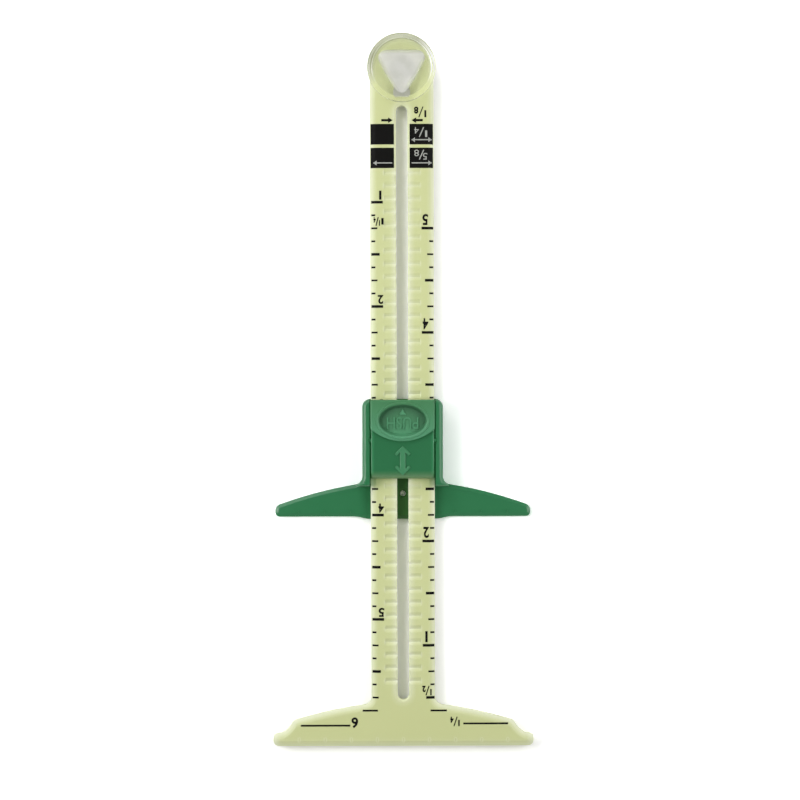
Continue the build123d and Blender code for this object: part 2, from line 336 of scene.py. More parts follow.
moulded_skin = moulded_skin_group()
print("moulded_skin", len(moulded_skin.nodes), "nodes")

# %% A moulded plastic
skin_depth = 0.02 * mm


def moulded_plastic(name, tones, roughness, skin_sizes, bump):
    """Two close tones, a gloss that wavers between two values and a skin of grain and waves."""
    material, tree, shader, output = new_material(name)
    skin = add_node(tree, "ShaderNodeGroup", skin_sizes, node_tree=moulded_skin).outputs
    gloss = add_node(
        tree,
        "ShaderNodeMapRange",
        {"Value": skin["Mottle"], "To Min": roughness[0], "To Max": roughness[1]},
    )
    tone = mix_colour(tree, skin["Mottle"], *tones)
    tree.links.new(tone, shader.inputs["Base Color"])
    tree.links.new(gloss.outputs[0], shader.inputs["Roughness"])
    add_bump(tree, shader, skin["Height"], bump, skin_depth)
    return material, tree, shader, output


def source_of(shader, name):
    """What feeds one of a shader's sockets."""
    return shader.inputs[name].links[0].from_socket


def give(node, material):
    """A CAD node's material, in place of the one it had in model.glb."""
    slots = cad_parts[node].data.materials
    slots.clear()
    slots.append(material)
    print(node, "in", material.name, "of", len(material.node_tree.nodes), "nodes")


# %% [markdown]
# ## Pale plastic
#
# The ruler is a pale yellow-green plastic that lets some light through. Thick places look
# greener, and along the outline, the slot and the bevels, where little plastic lies behind the
# face, it looks nearly white. That paleness is painted light: a paler colour stands in for the
# light that thin plastic lets through and for the highlights on the bevels. The Ambient Occlusion
# node, turned to look inside, measures how near a side wall is, and that mask drives the painted
# paler tone.

# %% Ruler's plastic
pale_tones = ((0.595, 0.635, 0.305, 1), (0.615, 0.655, 0.32, 1))
pale_gloss = (0.42, 0.5)
pale_skin = {"Grain Scale": 2500, "Wave Scale": 60, "Wave Amount": 2}
pale_bump = 0.35
thin_glow_tone = (0.80, 0.83, 0.64, 1)
thin_reach = 1.9 * mm
thin_range = (1, 0.35)

pale_plastic, tree, shader, _ = moulded_plastic(
    "pale_plastic", pale_tones, pale_gloss, pale_skin, pale_bump
)
inner = add_node(
    tree,
    "ShaderNodeAmbientOcclusion",
    {"Distance": thin_reach},
    inside=True,
    only_local=True,
    samples=8,
)
# Painted light: near the side walls the colour turns pale, for light through thin plastic and for
# bevel highlights.
thin = mask_between(tree, inner.outputs["AO"], *thin_range)
toned = mix_colour(tree, thin, source_of(shader, "Base Color"), thin_glow_tone)
tree.links.new(toned, shader.inputs["Base Color"])
give("ruler", pale_plastic)

# %% [markdown]
# ## Green plastic
#
# The slider and the button are moulded in one polished green. A little light comes through their
# walls, which keeps the narrow gaps beside the button from going black: for shadow rays the green
# is a tinted window. The slider's floor under the slot is painted olive: painted shade, and painted
# light for what the pale ruler tints on its way down. Two masks find that place: one by the
# distance from the gauge's middle line, and one by height.

# %% Slider's plastic
green_skin = {"Grain Scale": 3000, "Wave Scale": 80, "Wave Amount": 2}
green_bump = 0.3
green_window = (0.24, 0.46, 0.28, 1)
slider_greens = ((0.026, 0.170, 0.066, 1), (0.030, 0.182, 0.072, 1))
slider_gloss = (0.27, 0.33)
slider_floor = 1.2 * mm
painted_slot_olive = (0.040, 0.128, 0.031, 1)
painted_slot_sides = (1.9 * mm, 1.5 * mm)
painted_slot_blend = 0.1 * mm


def let_light_through(tree, shader, output, tint):
    """For shadow rays the plastic is a window with a tint, which counts once for each face."""
    path = add_node(tree, "ShaderNodeLightPath")
    window = add_node(tree, "ShaderNodeBsdfTransparent", {"Color": tint})
    inputs = {0: path.outputs["Is Shadow Ray"], 1: shader.outputs[0], 2: window.outputs[0]}
    mix = add_node(tree, "ShaderNodeMixShader", inputs)
    tree.links.new(mix.outputs[0], output.inputs["Surface"])


def place_parts(tree):
    """The distance from the gauge's middle line, the place along the gauge and the height."""
    parts = add_node(tree, "ShaderNodeSeparateXYZ", {0: object_place(tree)}).outputs
    from_middle = add_node(tree, "ShaderNodeMath", {0: parts["X"]}, operation="ABSOLUTE")
    return from_middle.outputs[0], parts["Y"], parts["Z"]


green_plastic, tree, shader, output = moulded_plastic(
    "green_plastic", slider_greens, slider_gloss, green_skin, green_bump
)
let_light_through(tree, shader, output, green_window)
from_middle, _, height = place_parts(tree)
# Painted shade and light: the slider's floor under the slot is coloured olive for the shade there
# and the light tinted by the ruler.
above_floor = slider_low.z + slider_floor + painted_slot_blend
below_slot = mask_between(tree, from_middle, *painted_slot_sides)
on_floor = mask_between(tree, height, above_floor + painted_slot_blend, above_floor)
painted_slot_mask = combine(tree, "MULTIPLY", below_slot, on_floor)
toned = mix_colour(tree, painted_slot_mask, source_of(shader, "Base Color"), painted_slot_olive)
tree.links.new(toned, shader.inputs["Base Color"])
give("slider_body", green_plastic)

# %% [markdown]
# The button's finger pad is left dull from the mould, so that the finger doesn't slip: the pad
# looks lighter and its dish shows no mirror. The pad stands above the button's flat panel and the
# dish sinks below it, so two masks tell where the dull skin lies: one by height, and one by the
# distance from the dish's middle, measured in the dish's own two radii.
#
# The pad's green is painted deeper towards the anchor's end and lighter towards the head, and the
# dish's walls are painted deeper away from its lower part: painted light and shade. Along the
# button's side edges the green is painted lighter, a painted highlight. The button thins out
# towards the head, and there the pale ruler shines through it: the olive at that end is painted
# light.

# %% Button's greens and their places
button_greens = ((0.023, 0.150, 0.058, 1), (0.027, 0.160, 0.063, 1))
button_gloss = (0.26, 0.32)
edge_highlight_green = (0.038, 0.222, 0.090, 1)
edge_highlight_fade = (1.9 * mm, 1.4 * mm)
# Painted light: the olive at the button's head end stands for the pale ruler shining through it.
end_olive = (0.135, 0.270, 0.115, 1)
end_fade = 2.0 * mm
end_past = 0.2 * mm

# Painted light and shade: the pad is lighter towards the head and deeper towards the anchor's end.
pad_light_to_shade_greens = ((0.072, 0.278, 0.138, 1), (0.046, 0.199, 0.075, 1))
pad_roughness = 0.55
pad_foot = button_high.z - 0.97 * mm
pad_blend = 0.04 * mm
pad_fade = (9.1 * mm, 0.6 * mm)

dish_y = button_high.y - 5.05 * mm
dish_radii = (6.3 * mm, 4.25 * mm)
dish_rim = (1, 0.98)
dish_wall_shade = (0.031, 0.128, 0.057, 1)
bowl_rim = (0.92, 0.88)
bright_y = dish_y - 1.6 * mm
bright_radii = (5.6 * mm, 5.2 * mm)
wall_range = (0.35, 1)
print("dish", [round(2 * radius / mm, 2) for radius in dish_radii], "mm")


# %% Button's plastic
def from_oval(tree, middle_y, radii):
    """The distance from an oval's middle, which is 1 on the oval itself."""
    centred = add_node(
        tree,
        "ShaderNodeMapping",
        {
            "Vector": object_place(tree),
            "Location": (0, -middle_y / radii[1], 0),
            "Scale": (1 / radii[0], 1 / radii[1], 0),
        },
    )
    away = add_node(tree, "ShaderNodeVectorMath", {0: centred.outputs[0]}, operation="LENGTH")
    return away.outputs["Value"]


button_green, tree, shader, output = moulded_plastic(
    "button_green", button_greens, button_gloss, green_skin, green_bump
)
let_light_through(tree, shader, output, green_window)
from_middle, along, height = place_parts(tree)
# Painted highlight: the green turns lighter along the button's side edges.
on_edge_highlight = mask_between(
    tree, from_middle, button_high.x - edge_highlight_fade[0], button_high.x - edge_highlight_fade[1]
)
near_end = mask_between(tree, along, button_low.y + end_fade, button_low.y - end_past)
panel_green = mix_colour(tree, on_edge_highlight, source_of(shader, "Base Color"), edge_highlight_green)
panel_green = mix_colour(tree, near_end, panel_green, end_olive)

# %% Button's dull pad and dish
from_dish = from_oval(tree, dish_y, dish_radii)
# Painted shade: the dish's walls turn deeper away from its lower part, and the pad darkens towards
# the anchor.
towards_pad_shade = mask_between(
    tree, along, button_high.y - pad_fade[0], button_high.y - pad_fade[1]
)
in_bowl = mask_between(tree, from_dish, *bowl_rim)
near_wall = mask_between(tree, from_oval(tree, bright_y, bright_radii), *wall_range)
dish_shade_mask = combine(tree, "MULTIPLY", in_bowl, near_wall)
pad_green = mix_colour(tree, towards_pad_shade, *pad_light_to_shade_greens)
pad_green = mix_colour(tree, dish_shade_mask, pad_green, dish_wall_shade)

on_pad = mask_between(tree, height, pad_foot - pad_blend, pad_foot + pad_blend)
in_dish = mask_between(tree, from_dish, *dish_rim)
dull = combine(tree, "MAXIMUM", on_pad, in_dish)
shine = mix_value(tree, dull, source_of(shader, "Roughness"), pad_roughness)
tree.links.new(mix_colour(tree, dull, panel_green, pad_green), shader.inputs["Base Color"])
tree.links.new(shine, shader.inputs["Roughness"])
give("release_button", button_green)

# %% [markdown]
# ## Spring steel
#
# The latch spring is cut from a brushed strip. The brush marks run along the strip, so the noise
# is stretched that way, and it moves the gloss and a very low bump.

# %% Brushed leaf
steel_tones = ((0.50, 0.50, 0.48, 1), (0.66, 0.66, 0.64, 1))
steel_gloss = (0.22, 0.42)
brush_scales = (9000, 500, 9000)
brush_bump, brush_depth = 0.3, 0.01 * mm

spring_steel, tree, shader, _ = new_material("spring_steel")
shader.inputs["Metallic"].default_value = 1
stretched = add_node(
    tree, "ShaderNodeMapping", {"Vector": object_place(tree), "Scale": brush_scales}
)
brush = noise(tree, stretched.outputs[0], scale=1, detail=4)
tree.links.new(mix_colour(tree, brush, *steel_tones), shader.inputs["Base Color"])
tree.links.new(mix_value(tree, brush, *steel_gloss), shader.inputs["Roughness"])
add_bump(tree, shader, brush, brush_bump, brush_depth)
give("latch_spring", spring_steel)

# %% [markdown]
# ## Clear plastic
#
# The anchor is moulded clear, with a frosted three-cornered grip on its face. Clear plastic bends
# light, so it is a glass shader with an index just under that of acrylic, and its mould left it
# slightly hazy. Lamps can't be found through a bending surface, so for shadow rays the plastic is
# mostly open, and what lies under it stays bright. The thick rim is painted darker towards the
# gauge's end and left clear over the ruler: painted shade and light, for how light passes the
# rim. The distance from the anchor's middle and the side set that tint.

# %% Clear anchor
clear_index = 1.42
shadow_openness = 0.9
clear_tones = ((0.84, 0.85, 0.87, 1), (0.90, 0.90, 0.92, 1))
clear_gloss = (0.12, 0.28)
mist_scale = 900
rim_inner, rim_blend = 6.9 * mm, 0.3 * mm
rim_light_and_shade_tones = ((1.0, 1.0, 1.0, 1), (0.485, 0.50, 0.385, 1))
rim_shade_way = (-0.4, 0.92, 0)
rim_shade_range = (-1.0 * mm, 5.0 * mm)


def open_to_lamps(tree):
    """An opacity of 1 that drops to nearly nothing for shadow rays."""
    path = add_node(tree, "ShaderNodeLightPath")
    inputs = {0: path.outputs["Is Shadow Ray"], 1: -shadow_openness, 2: 1}
    return add_node(tree, "ShaderNodeMath", inputs, operation="MULTIPLY_ADD").outputs[0]


clear_plastic, tree, shader, _ = new_material("clear_plastic")
shader.inputs["Transmission Weight"].default_value = 1
shader.inputs["IOR"].default_value = clear_index
tree.links.new(open_to_lamps(tree), shader.inputs["Alpha"])
place = object_place(tree)
mist = noise(tree, place, mist_scale, detail=2)
tree.links.new(mix_value(tree, mist, *clear_gloss), shader.inputs["Roughness"])
to_middle = add_node(
    tree,
    "ShaderNodeMapping",
    {"Vector": place, "Location": (0, -anchor_y, 0), "Scale": (1, 1, 0)},
).outputs[0]
away = add_node(tree, "ShaderNodeVectorMath", {0: to_middle}, operation="LENGTH")
aside = add_node(
    tree, "ShaderNodeVectorMath", {0: to_middle, 1: rim_shade_way}, operation="DOT_PRODUCT"
)
# Painted shade and light: the rim is darker on the side towards the gauge's end and clear on the
# other.
on_rim = mask_between(tree, away.outputs["Value"], rim_inner, rim_inner + rim_blend)
rim_shaded_side = mask_between(tree, aside.outputs["Value"], *rim_shade_range)
clear_tone = mix_colour(tree, mist, *clear_tones)
rim_tone = mix_colour(tree, rim_shaded_side, *rim_light_and_shade_tones)
tree.links.new(mix_colour(tree, on_rim, clear_tone, rim_tone), shader.inputs["Base Color"])
give("anchor_button", clear_plastic)
give("anchor_foot", clear_plastic)

# %% [markdown]
# ## Frosted grip
#
# The grip's face is left rough from the mould, and the rough skin scatters light like frost. It
# hides the spigot below it. The frost is a thin skin of its own over the clear grip, cut to the
# same rounded triangle, with a mottled tone and an uneven surface. It thins out towards the
# grip's edges: three dot products, one for each side, say how near an edge is, and that fades the
# skin.

# %% Frost's tones and fading
grip_inner = 4.15 * mm
grip_sides = (90, 210, 330)
frost_roughness = 0.6
frost_tones = ((0.56, 0.565, 0.51, 1), (0.72, 0.72, 0.67, 1))
frost_veils = (0.95, 0.82)
patch_scale, patch_range = 420, (0.35, 0.65)
pit_scale, pit_bump, pit_depth = 1500, 0.6, 0.1 * mm
frost_fade = 1.5 * mm
frost_past_edge = 0.45 * mm
frost_ragged = 0.7 * mm

frosted_plastic, tree, shader, _ = new_material("frosted_plastic")
shader.inputs["Roughness"].default_value = frost_roughness
place = object_place(tree)
patches = noise(tree, place, patch_scale, detail=2)
pits = noise(tree, place, pit_scale, detail=3)
patch_mask = mask_between(tree, patches, *patch_range)
tree.links.new(mix_colour(tree, patch_mask, *frost_tones), shader.inputs["Base Color"])
add_bump(tree, shader, pits, pit_bump, pit_depth)

# %% Frost fades at the grip's three sides
from_grip = add_node(
    tree, "ShaderNodeMapping", {"Vector": place, "Location": (0, -anchor_y, 0)}
).outputs[0]
reach = None
for turn in grip_sides:
    side = (math.cos(math.radians(turn)), math.sin(math.radians(turn)), 0)
    farther = add_node(
        tree, "ShaderNodeVectorMath", {0: from_grip, 1: side}, operation="DOT_PRODUCT"
    ).outputs["Value"]
    reach = combine(tree, "MAXIMUM", reach, farther) if reach else farther
ragged = add_node(
    tree, "ShaderNodeMath", {0: patches, 1: frost_ragged, 2: reach}, operation="MULTIPLY_ADD"
)
frost_end = grip_inner + frost_ragged / 2 + frost_past_edge
inside = mask_between(tree, ragged.outputs[0], frost_end, frost_end - frost_fade)
veiled = combine(tree, "MULTIPLY", inside, mix_value(tree, patch_mask, *frost_veils))
alpha = combine(tree, "MULTIPLY", veiled, open_to_lamps(tree))
tree.links.new(alpha, shader.inputs["Alpha"])
print("frost ends", round(frost_end / mm, 2), "mm from the grip's middle")

# %% Skin on the grip
grip_top = anchor_high.z - 0.1 * mm
grip_round = 2.35 * mm
frost_film = 0.04 * mm

bm = bmesh.new()
bmesh.ops.create_circle(bm, segments=3, radius=2 * grip_inner, cap_ends=True)
bmesh.ops.bevel(
    bm,
    geom=bm.verts[:],
    offset=grip_round * math.sqrt(3),
    segments=10,
    affect="VERTICES",
    profile=0.5,
    material=-1,
)
bmesh.ops.rotate(bm, verts=bm.verts, matrix=Matrix.Rotation(math.pi, 3, "Z"))
bmesh.ops.translate(bm, verts=bm.verts, vec=(0, anchor_y, grip_top))
thicken(bm, frost_film)
grip_frost = make_piece(bm, "grip_frost", frosted_plastic)
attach(grip_frost, "anchor")

# %% [markdown]
# A small grey frosted sheet between the grip's tip and the rim is painted shade: it stands for the
# frost at the grip's lower end lying in shade. It lies lower, on the anchor's floor, and looks
# greyer. Its outline is a rectangle with rounded corners.

# %% Grey frost painted as shade below the grip's tip
land_low_y, land_high_y = anchor_y - 7.3 * mm, anchor_y - 5.0 * mm
land_half = 2.05 * mm
land_round = 0.7 * mm
land_floor = anchor_high.z - 0.7 * mm
# Painted shade: these greys darken the sheet below the grip's tip.
tip_shade_tones = ((0.40, 0.41, 0.33, 1), (0.52, 0.53, 0.46, 1))
land_veils = (0.85, 0.5)
land_patch_scale = 700

tip_shade_frost, tree, shader, _ = new_material("tip_shade_frost")
shader.inputs["Roughness"].default_value = frost_roughness
patches = noise(tree, object_place(tree), land_patch_scale, detail=2)
tree.links.new(mix_colour(tree, patches, *tip_shade_tones), shader.inputs["Base Color"])
tree.links.new(mix_value(tree, patches, *land_veils), shader.inputs["Alpha"])

middle = Matrix.Translation((0, (land_low_y + land_high_y) / 2, land_floor))
size = Matrix.Diagonal((2 * land_half, land_high_y - land_low_y, 1, 1))
bm = bmesh.new()
bmesh.ops.create_grid(bm, x_segments=1, y_segments=1, size=0.5, matrix=middle @ size)
bmesh.ops.bevel(
    bm,
    geom=bm.verts[:],
    offset=land_round,
    segments=6,
    affect="VERTICES",
    profile=0.5,
    material=-1,
)
thicken(bm, frost_film)
tip_shade_piece = make_piece(bm, "tip_shade_piece", tip_shade_frost)
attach(tip_shade_piece, "anchor")

# %% [markdown]
# ## Ink
#
# The scales are pad-printed: a film of ink a few hundredths of a millimetre thick that follows
# the bevels. A sign is drawn flat, laid on the ruler by casting a ray down from each of its
# vertices, and then given its thickness. Black ink is never quite even, so a fine noise varies
# its tone and gloss.

# %% Black and white ink
ink_scale = 2500
ink_gloss = (0.42, 0.6)


def ink(name, tones, shine):
    """A thin film of ink with a fine unevenness."""
    material, tree, shader, _ = new_material(name)
    shader.inputs["Specular IOR Level"].default_value = shine
    uneven = noise(tree, object_place(tree), ink_scale, detail=3)
    tree.links.new(mix_colour(tree, uneven, *tones), shader.inputs["Base Color"])
    tree.links.new(mix_value(tree, uneven, *ink_gloss), shader.inputs["Roughness"])
    print(name, "of", len(tree.nodes), "nodes")
    return material


black_ink = ink("black_ink", ((0.004, 0.004, 0.0035, 1), (0.008, 0.0075, 0.007, 1)), shine=0.08)
white_ink = ink("white_ink", ((0.34, 0.35, 0.32, 1), (0.44, 0.45, 0.41, 1)), shine=0.3)


# %% Flat bars and arrow heads
def add_bar(bm, low_x, high_x, low_y, high_y, step=0.4 * mm):
    """A flat rectangle, cut across its longer way so that it can follow a curved face."""
    width, height = high_x - low_x, high_y - low_y
    middle = Vector(((low_x + high_x) / 2, (low_y + high_y) / 2, 0))
    bmesh.ops.create_grid(
        bm,
        x_segments=max(2, round(width / step)),
        y_segments=max(2, round(height / step)),
        size=0.5,
        matrix=Matrix.Translation(middle) @ Matrix.Diagonal((width, height, 1, 1)),
    )


def add_head(bm, tip, length, width, direction):
    """A flat triangle with its tip at a place, to the right for a direction of 1, left for -1.

    It is made in a circle of radius 1, where it is 1.5 tall and root 3 wide, and then scaled.
    """
    tall, wide = 1.5, math.sqrt(3)
    middle = Vector((tip[0] - direction * length / 2, tip[1], 0))
    made = bmesh.ops.create_circle(bm, segments=3, radius=1, cap_ends=True)["verts"]
    bmesh.ops.rotate(bm, verts=made, matrix=Matrix.Rotation(-math.pi / 2, 3, "Z"))
    low = min(v.co.x for v in made)
    bmesh.ops.translate(bm, verts=made, vec=(-low - tall / 2, 0, 0))
    bmesh.ops.scale(bm, verts=made, vec=(direction * length / tall, width / wide, 1))
    bmesh.ops.translate(bm, verts=made, vec=middle)


# %% [markdown]
# Figures come from a text curve. It is turned into a mesh first, and the mesh is then stretched
# to its box and turned half round, because the gauge's figures are read from its other end. Ink
# spreads, which widens each stroke: the curve's offset does that.

# %% Figures
scratch = bpy.data.collections.new("scratch")
bpy.context.scene.collection.children.link(scratch)


def add_figures(bm, text, low_x, high_x, low_y, high_y, height=0, slope=0, spread=0):
    """Figures turned half round, as on the gauge, and stretched to fill a rectangle.

    With a height they are solid, with sides that slope in towards the top.
    """
    curve = bpy.data.curves.new("figures", "FONT")
    curve.body = text
    curve.offset = spread
    curve.extrude = height / 2
    curve.bevel_depth = slope
    writer = bpy.data.objects.new("figures", curve)
    scratch.objects.link(writer)
    written = writer.evaluated_get(bpy.context.evaluated_depsgraph_get())
    mesh = bpy.data.meshes.new_from_object(written)
    letters = bmesh.new()
    letters.from_mesh(mesh)
    low = Vector((min(v.co.x for v in letters.verts), min(v.co.y for v in letters.verts), 0))
    high = Vector((max(v.co.x for v in letters.verts), max(v.co.y for v in letters.verts), 0))
    share = Vector((-(high_x - low_x) / (high.x - low.x), -(high_y - low_y) / (high.y - low.y), 1))
    middle = ((low_x + high_x) / 2, (low_y + high_y) / 2, 0)
    bmesh.ops.translate(letters, verts=letters.verts, vec=-(low + high) / 2)
    bmesh.ops.scale(letters, verts=letters.verts, vec=share)
    bmesh.ops.translate(letters, verts=letters.verts, vec=middle)
    letters.to_mesh(mesh)
    letters.free()
    bm.from_mesh(mesh)
    bpy.data.objects.remove(writer)
    bpy.data.curves.remove(curve)
    bpy.data.meshes.remove(mesh)


# %% Printed figures and fractions
ink_spread = 0.03
small_spread = 0.05
figure_share = 0.66
lower_share, upper_share, narrow_share = 0.36, 0.34, 0.16
slash_half = 0.13 * mm
slash_lean = 0.34
slash_place = 0.56


def print_figures(bm, text, low_x, high_x, low_y, high_y, spread=ink_spread):
    """Printed figures, as bold as spreading ink makes them."""
    add_figures(bm, text, low_x, high_x, low_y, high_y, spread=spread)


def print_fraction(bm, upper, lower, low_x, high_x, low_y, high_y, spread=small_spread):
    """A fraction on a slanting stroke: turned half round, its upper figure stands low on the right.

    The 1 is a narrow figure, and ink hardly widens it.
    """
    width, tall = high_x - low_x, (high_y - low_y) * figure_share
    narrow = upper == "1"
    upper_width = (narrow_share if narrow else upper_share) * width
    upper_spread = 0 if narrow else spread
    print_figures(bm, lower, low_x, low_x + lower_share * width, high_y - tall, high_y, spread)
    print_figures(bm, upper, high_x - upper_width, high_x, low_y, low_y + tall, upper_spread)
    lean = Vector((slash_lean * width, high_y - low_y))
    stroke = Matrix.Translation((low_x + slash_place * width, (low_y + high_y) / 2, 0))
    stroke @= Matrix.Rotation(-math.atan2(lean.x, lean.y), 4, "Z")
    stroke @= Matrix.Diagonal((2 * slash_half, lean.length, 1, 1))
    bmesh.ops.create_grid(bm, x_segments=1, y_segments=5, size=0.5, matrix=stroke)


# %% Laying ink on the ruler
ink_film = 0.02 * mm
ink_sink = 0.03 * mm
arm_half = 7.8 * mm
bevel_width = 1.3 * mm
ruler_mesh = bmesh.new()
ruler_mesh.from_mesh(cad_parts["ruler"].data)
ruler_tree = BVHTree.FromBMesh(ruler_mesh)
ruler_mesh.free()


def lay_ink(bm, name, material, film=ink_film):
    """Flat signs laid on the ruler's top as a film of ink that rides on the ruler.

    They are first cut along the feet of the arm's two bevels, so that the film bends there.
    """
    for side in (-1, 1):
        bmesh.ops.bisect_plane(
            bm,
            geom=bm.verts[:] + bm.edges[:] + bm.faces[:],
            plane_co=(side * (arm_half - bevel_width), 0, 0),
            plane_no=(1, 0, 0),
        )
    for corner in bm.verts:
        above = Vector((corner.co.x, corner.co.y, 2 * ruler_high.z))
        hit, _, _, _ = ruler_tree.ray_cast(above, Vector((0, 0, -1)))
        corner.co.z = (hit.z if hit else ruler_high.z) + film
    for face in bm.faces:
        if face.normal.z < 0:
            face.normal_flip()
    thicken(bm, -film - ink_sink)
    piece = make_piece(bm, name, material)
    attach(piece, "ruler")


# %% [markdown]
# ## Two inch scales
#
# The right scale counts inches from the head and the left one counts down from the anchor. On the
# real gauge the print sits a little nearer to the head's edge than the notches do, and that slip
# is kept. The marks are longest at the inch and shorter at each halving. Each figure lies just
# past its mark, on the anchor's side, and its feet point to the anchor.

# %% Scale marks
print_slip = 0.85 * mm
print_zero = head_edge - print_slip
eighth = inch / 8
mark_ends = (7.6 * mm, -7.5 * mm)
mark_lengths = {8: 2.85 * mm, 4: 2.05 * mm, 2: 1.5 * mm, 1: 1.0 * mm}
thick_mark = 0.65 * mm
thin_mark = 0.44 * mm


def add_mark(bm, outer_x, eighths, y):
    """One scale mark, as long as its share of an inch asks."""
    share = next(part for part in mark_lengths if eighths % part == 0)
    half_thick = (thick_mark if share >= 4 else thin_mark) / 2
    inner_x = outer_x - math.copysign(mark_lengths[share], outer_x)
    add_bar(bm, min(inner_x, outer_x), max(inner_x, outer_x), y - half_thick, y + half_thick)


# %% Numbers beside their marks
numbers = range(1, 6)
figure_half = 0.68 * mm
one_half = 0.29 * mm


def add_number(bm, number, middle_x, low_y, height):
    """A whole number beside its mark. The 1 is a narrow figure."""
    half, spread = (one_half, 0) if number == 1 else (figure_half, ink_spread)
    sides = (middle_x - half, middle_x + half)
    print_figures(bm, str(number), *sides, low_y, low_y + height, spread)


# %% Right scale
right_eighths = range(4, 41)
right_numbers_x = 5.67 * mm
right_gap, right_tall = 0.75 * mm, 2.7 * mm
half_sides = (4.6 * mm, 6.9 * mm)
half_mark = print_zero + 0.5 * inch
half_heights = (half_mark + 0.5 * mm, half_mark + 2.85 * mm)

bm = bmesh.new()
for eighths in right_eighths:
    add_mark(bm, mark_ends[0], eighths, print_zero + eighths * eighth)
for number in numbers:
    low_y = print_zero + number * inch + right_gap
    add_number(bm, number, right_numbers_x, low_y, right_tall)
print_fraction(bm, "1", "2", *half_sides, *half_heights)
lay_ink(bm, "right_scale", black_ink)

# %% Left scale
left_eighths = range(8, 47)
left_zero = print_zero + 6.25 * inch
left_numbers_x = -5.27 * mm
left_gap, left_tall = 0.6 * mm, 2.2 * mm
quarter_mark = left_zero - 1.25 * inch
whole_one_x = -4.75 * mm
whole_one_low, whole_one_tall = quarter_mark + 0.9 * mm, 1.6 * mm
quarter_sides = (-6.95 * mm, -5.35 * mm)
quarter_heights = (quarter_mark + 0.6 * mm, quarter_mark + 2.7 * mm)

bm = bmesh.new()
for eighths in left_eighths:
    add_mark(bm, mark_ends[1], eighths, left_zero - eighths * eighth)
for number in numbers:
    low_y = left_zero - number * inch + left_gap
    add_number(bm, number, left_numbers_x, low_y, left_tall)
add_number(bm, 1, whole_one_x, whole_one_low, whole_one_tall)
print_fraction(bm, "1", "4", *quarter_sides, *quarter_heights)
lay_ink(bm, "left_scale", black_ink)

# %% [markdown]
# ## Hem lines on the head
#
# Two lines lie on each side of the head. Those on the right stand 3/8 and 1/4 inch from its edge,
# for narrow hems. Those on the left end the left scale, at 5 7/8 and 6 inches, and the last is
# printed a little nearer to the edge on the real gauge. All are drawn like the marks, in finer
# steps, so that they follow the bevel of the shoulders.

# %% Head marks
line_half = 0.22 * mm
line_step = 0.15 * mm
head_lines = (
    (6.6 * mm, 10.6 * mm, 3 / 8 * inch),
    (14.56 * mm, 25.5 * mm, 1 / 4 * inch),
    (-9.93 * mm, -6.2 * mm, 3 / 8 * inch),
    (-25.0 * mm, -12.95 * mm, 5.9 * mm),
)
head_quarter_sides = (11.4 * mm, 13.7 * mm)
head_quarter_heights = (print_zero + 5.7 * mm, print_zero + 8.0 * mm)
six_sides = (-12.65 * mm, -11.05 * mm)
six_heights = (print_zero + 5.3 * mm, print_zero + 7.9 * mm)

bm = bmesh.new()
for low_x, high_x, distance in head_lines:
    line_y = print_zero + distance
    add_bar(bm, low_x, high_x, line_y - line_half, line_y + line_half, line_step)
print_fraction(bm, "1", "4", *head_quarter_sides, *head_quarter_heights)
print_figures(bm, "6", *six_sides, *six_heights)
lay_ink(bm, "head_marks", black_ink)

# %% [markdown]
# ## Seam guides
#
# Four black fields beside the slot's far end say how wide common seams are: 1/8 of an inch
# between the arrows, 1/4 and 5/8 on the black. The white signs are a second film on the black
# one.

# %% Black fields
field_inner, field_outer = 1.9 * mm, 7.6 * mm
field_rows = ((141.65 * mm, 146.6 * mm), (147.4 * mm, 152.4 * mm))

bm = bmesh.new()
for low, high in field_rows:
    for left, right in ((-field_outer, -field_inner), (field_inner, field_outer)):
        add_bar(bm, left, right, print_zero + low, print_zero + high)
lay_ink(bm, "seam_guide_fields", black_ink)

# %% Small arrows and their figures
arrow_y = print_zero + 153.3 * mm
black_arrows = ((-4.97 * mm, -2.2 * mm), (5.14 * mm, 2.41 * mm))
black_shaft_half = 0.28 * mm
black_head = (1.1 * mm, 1.35 * mm)
eighth_sides = (3.0 * mm, 6.0 * mm)
eighth_heights = (print_zero + 154.0 * mm, print_zero + 156.6 * mm)

bm = bmesh.new()
for tail_x, tip_x in black_arrows:
    way = 1 if tip_x > tail_x else -1
    neck_x = tip_x - way * black_head[0]
    shaft = (min(tail_x, neck_x), max(tail_x, neck_x))
    add_bar(bm, *shaft, arrow_y - black_shaft_half, arrow_y + black_shaft_half)
    add_head(bm, (tip_x, arrow_y), *black_head, way)
print_fraction(bm, "1", "8", *eighth_sides, *eighth_heights)
lay_ink(bm, "eighth_seam_marks", black_ink)

# %% White signs
white_film = 0.035 * mm
white_shaft_half = 0.13 * mm
white_head = (0.8 * mm, 1.2 * mm)
white_arrows = (
    (2.4 * mm, 7.28 * mm, 148.55 * mm, (-1, 1)),
    (2.4 * mm, 7.28 * mm, 142.9 * mm, (1,)),
    (-6.95 * mm, -2.34 * mm, 142.9 * mm, (-1,)),
)
white_fractions = (("1", "4", 149.2 * mm), ("5", "8", 143.7 * mm))
white_sides = (3.05 * mm, 6.2 * mm)
white_tall = 2.4 * mm

bm = bmesh.new()
for low_x, high_x, distance, ways in white_arrows:
    y = print_zero + distance
    add_bar(bm, low_x, high_x, y - white_shaft_half, y + white_shaft_half)
    for way in ways:
        add_head(bm, (high_x if way > 0 else low_x, y), *white_head, way)
for upper, lower, distance in white_fractions:
    low_y = print_zero + distance
    print_fraction(bm, upper, lower, *white_sides, low_y, low_y + white_tall, spread=0)
lay_ink(bm, "field_marks", white_ink, white_film)

